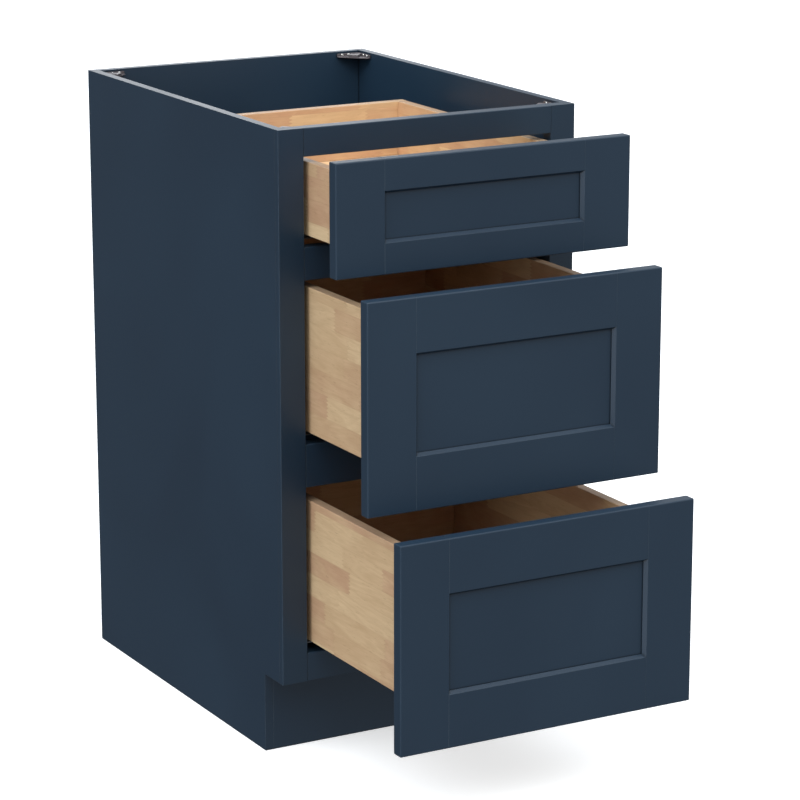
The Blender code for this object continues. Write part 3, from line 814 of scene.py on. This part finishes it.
def make_clips(drawer):
    """Locking clips under the box front that catch the runners, each with a thumb lever."""
    shapes, screws = [], []
    floor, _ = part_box("drawer_" + drawer + "_box_bottom")
    _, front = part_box("drawer_" + drawer + "_box_front")
    for word, side in SIDES.items():
        low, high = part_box("slide_" + drawer + "_drawer_member_" + word)
        edge = low.x if side > 0 else high.x
        outline = rounded_outline(set_out(CLIP_BODY, edge, front.y, -side), 2.5 * MM)
        body = prism(outline, floor.z - CLIP_DROP, floor.z - 0.3 * MM)
        outline = rounded_outline(set_out(CLIP_LEVER, edge, front.y, -side), 1.8 * MM)
        lever = prism(outline, floor.z - 8.0 * MM, floor.z - 3.5 * MM)
        outline = rounded_outline(set_out(CLIP_WELL, edge, front.y, -side), 2.0 * MM)
        well = prism(outline, floor.z - 12 * MM, floor.z - WELL_DROP)
        shapes.append(boolean(boolean(body, lever, "UNION"), well))
        for inset, back, drop in ((8, 47, CLIP_DROP), (12, 29, WELL_DROP)):
            spot = (edge - side * inset * MM, front.y + back * MM, floor.z - drop)
            screws.append((spot, (0, 0, -1)))
    body = "drawer_" + drawer
    add_piece("lock_clips_" + drawer, gather(shapes), GREY, body, bevel=0.4 * MM)
    bm = copies(screw_head(3.4 * MM, 1.7 * MM), screws)
    add_piece("clip_screws_" + drawer, bm, SCREW_STEEL, body)


# ---------------------------------------------------------------- small parts of the drawers


FRONT_SCREW_REACH = 95.0 * MM
BUMPER_INSET = 12.0 * MM
BRAD_INSET = 14.0 * MM


def make_front_screws(drawer):
    """Washer-head screws that hold the painted front, driven from inside the box."""
    low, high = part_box("drawer_" + drawer + "_box_front")
    height = high.z - low.z
    rows = (0.30, 0.80) if height > 0.15 else (0.58,)
    spots = []
    for share in rows:
        for x in (-FRONT_SCREW_REACH, FRONT_SCREW_REACH):
            spots.append(((x, high.y, low.z + share * height), (0, 1, 0)))
    bm = copies(screw_head(3.8 * MM, 2.2 * MM, 6.2 * MM), spots)
    add_piece("front_screws_" + drawer, bm, SCREW_STEEL, "drawer_" + drawer)


def make_bumpers(drawer):
    """Soft round pads near the four corners of the front's back face."""
    low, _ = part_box("drawer_" + drawer + "_front_stile_left")
    _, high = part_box("drawer_" + drawer + "_front_stile_right")
    rise = [(0.0, 1.0), (0.4, 0.95), (0.7, 0.78), (0.9, 0.48), (1.0, 0.1), (1.0, 0.0), (0.0, 0.0)]
    pad = turned([(4.0 * MM * r, 1.7 * MM * z) for r, z in rise], 24)
    spots = []
    for x in (low.x + BUMPER_INSET, high.x - BUMPER_INSET):
        for z in (low.z + BUMPER_INSET, high.z - BUMPER_INSET):
            spots.append(((x, high.y, z), (0, 1, 0)))
    add_piece("bumpers_" + drawer, copies(pad, spots), CLEAR_PAD, "drawer_" + drawer)


def make_brads():
    """Filled brad heads along the edges of the back panel and across the deck."""
    low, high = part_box("back_panel")
    dome = turned([(0.0, 0.12 * MM), (1.0 * MM, 0.10 * MM), (1.5 * MM, 0.0), (0.0, 0.0)], 16)
    spots = []
    first = low.z + 30 * MM
    step = (high.z - low.z - 60 * MM) / 7
    for index in range(8):
        for x in (low.x + BRAD_INSET, high.x - BRAD_INSET):
            spots.append(((x, high.y, first + index * step), (0, 1, 0)))
    deck_low, deck_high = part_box("bottom_panel")
    for index in range(1, 6):
        x = low.x + index * (high.x - low.x) / 6
        spots.append(((x, high.y, (deck_low.z + deck_high.z) / 2), (0, 1, 0)))
    add_piece("back_brads", copies(dome, spots), FILLER, CABINET)


for node in list(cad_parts):
    if "_rail_" in node or node in ("toe_kick_board", "bottom_panel"):
        close_joints(node)
make_braces()
make_sockets()
make_rail_screws()
make_brads()
for drawer in DRAWERS:
    for word, side in SIDES.items():
        make_cabinet_member(drawer, word, side)
        make_drawer_member(drawer, word, side)
    make_rollers(drawer)
    make_clips(drawer)
    make_front_screws(drawer)
    make_bumpers(drawer)


# ---------------------------------------------------------------- studio

CAMERA_PLACE = Vector((-2.0839, -3.7886, 1.5655))
CAMERA_TARGET = Vector((0.0358, 0.0, 0.4479))
CAMERA_LENS = 142.6


def make_camera():
    data = bpy.data.cameras.new("camera")
    data.sensor_width = 36.0
    data.lens = CAMERA_LENS
    data.clip_start = 0.1
    data.clip_end = 60.0
    camera = bpy.data.objects.new("camera", data)
    camera.location = CAMERA_PLACE
    camera.rotation_mode = "QUATERNION"
    camera.rotation_quaternion = (CAMERA_TARGET - CAMERA_PLACE).to_track_quat("-Z", "Y")
    SCENE.collection.objects.link(camera)
    SCENE.camera = camera


def make_softbox(name, place, aim, size, power, tint=(1.0, 1.0, 1.0), spread=180.0):
    data = bpy.data.lights.new(name, "AREA")
    data.shape = "RECTANGLE"
    data.size, data.size_y = size
    data.energy = power
    data.color = tint
    data.spread = math.radians(spread)
    light = bpy.data.objects.new(name, data)
    light.location = place
    light.rotation_mode = "QUATERNION"
    light.rotation_quaternion = (Vector(aim) - Vector(place)).to_track_quat("-Z", "Y")
    light.visible_camera = False
    SCENE.collection.objects.link(light)
    return light


def make_world():
    """White to the camera, and to the object a dim room with a few soft bright patches."""
    world = bpy.data.worlds.new("studio")
    SCENE.world = world
    world.use_nodes = True
    nodes = world.node_tree.nodes
    nodes.clear()
    tree = Tree(world.node_tree)
    way = tree.node("ShaderNodeTexCoord").outputs["Generated"]
    total = WORLD_BASE
    for axis, sharpness, strength in WORLD_LOBES:
        unit = tuple(Vector(axis).normalized())
        towards = tree.node("ShaderNodeVectorMath", {0: way, 1: unit}, operation="DOT_PRODUCT")
        lobe = tree.math("POWER", tree.math("MAXIMUM", towards.outputs["Value"], 0.0), sharpness)
        total = tree.math("ADD", tree.math("MULTIPLY", lobe, strength), total)
    room = tree.node("ShaderNodeBackground", {"Color": (0.95, 1.0, 1.05), "Strength": total})
    seen = tree.node("ShaderNodeBackground", {"Color": (1.0, 1.0, 1.0), "Strength": 1.0})
    camera_ray = tree.node("ShaderNodeLightPath").outputs["Is Camera Ray"]
    mixed = tree.node("ShaderNodeMixShader", {0: camera_ray, 1: room.outputs[0], 2: seen.outputs[0]})
    tree.node("ShaderNodeOutputWorld", {"Surface": mixed.outputs[0]})


def make_floor():
    """A wide pale floor with a faint mottle, lit from within so that it stays nearly white."""
    bm = bmesh.new()
    bmesh.ops.create_circle(bm, cap_ends=True, segments=96, radius=FLOOR_RADIUS)
    bmesh.ops.translate(bm, vec=(0, 0, -FLOOR_DROP), verts=bm.verts)
    mesh = bpy.data.meshes.new("floor")
    bm.to_mesh(mesh)
    bm.free()
    material, tree, shader = new_material("floor_pale", Roughness=0.9)
    place, _ = axes_of(tree)
    mottle = tree.noise(place, 2.0, 3.0)
    tree.put(shader.inputs["Base Color"], tree.mix(mottle, (0.80, 0.80, 0.80), (0.84, 0.84, 0.84)))
    tree.put(shader.inputs["Emission Color"], (1.0, 1.0, 1.0))
    tree.put(shader.inputs["Emission Strength"], FLOOR_GLOW)
    mesh.materials.append(material)
    floor = bpy.data.objects.new("floor", mesh)
    SCENE.collection.objects.link(floor)
    floor.visible_glossy = False
    floor.visible_diffuse = False


FLOOR_RADIUS = 14.0
FLOOR_DROP = 0.5 * MM
FLOOR_GLOW = 0.55
WORLD_BASE = 0.145
WORLD_LOBES = (
    ((0.0, 0.0, 1.0), 2.0, 0.35),
    ((0.45, 0.80, 0.45), 4.0, 0.5),
    ((0.5, -0.85, -0.1), 3.0, 0.32),
    ((-0.86, -0.48, -0.25), 12.0, 2.4),
    ((0.48, -0.35, 0.82), 8.0, 2.0),
    ((-0.58, -0.22, 0.78), 8.0, 3.4),
)

make_camera()
make_world()
make_floor()
make_softbox("left", (-2.9, -0.5, 1.3), (0.0, 0.0, 0.5), (1.6, 1.8), 10.0, (0.92, 1.0, 1.08))
make_softbox("front", (-0.5, -2.9, 2.9), (0.0, 0.0, 0.5), (1.8, 1.8), 33.0, (1.0, 0.97, 0.92))
make_softbox("overhead", (0.1, 0.3, 3.2), (0.0, 0.0, 0.5), (2.6, 2.0), 8.0)
make_softbox("back", (0.50, 1.7, 1.35), (0.50, 0.0, 1.35), (1.0, 1.2), 6.0)
INSIDE_PLACE = (-0.25, 0.05, 1.50)
INSIDE_AIM = (0.20, 0.42, 0.76)
make_softbox("inside", INSIDE_PLACE, INSIDE_AIM, (0.3, 0.3), 0.30, (1.0, 0.93, 0.84), 50.0)
SCENE.view_settings.view_transform = "Standard"
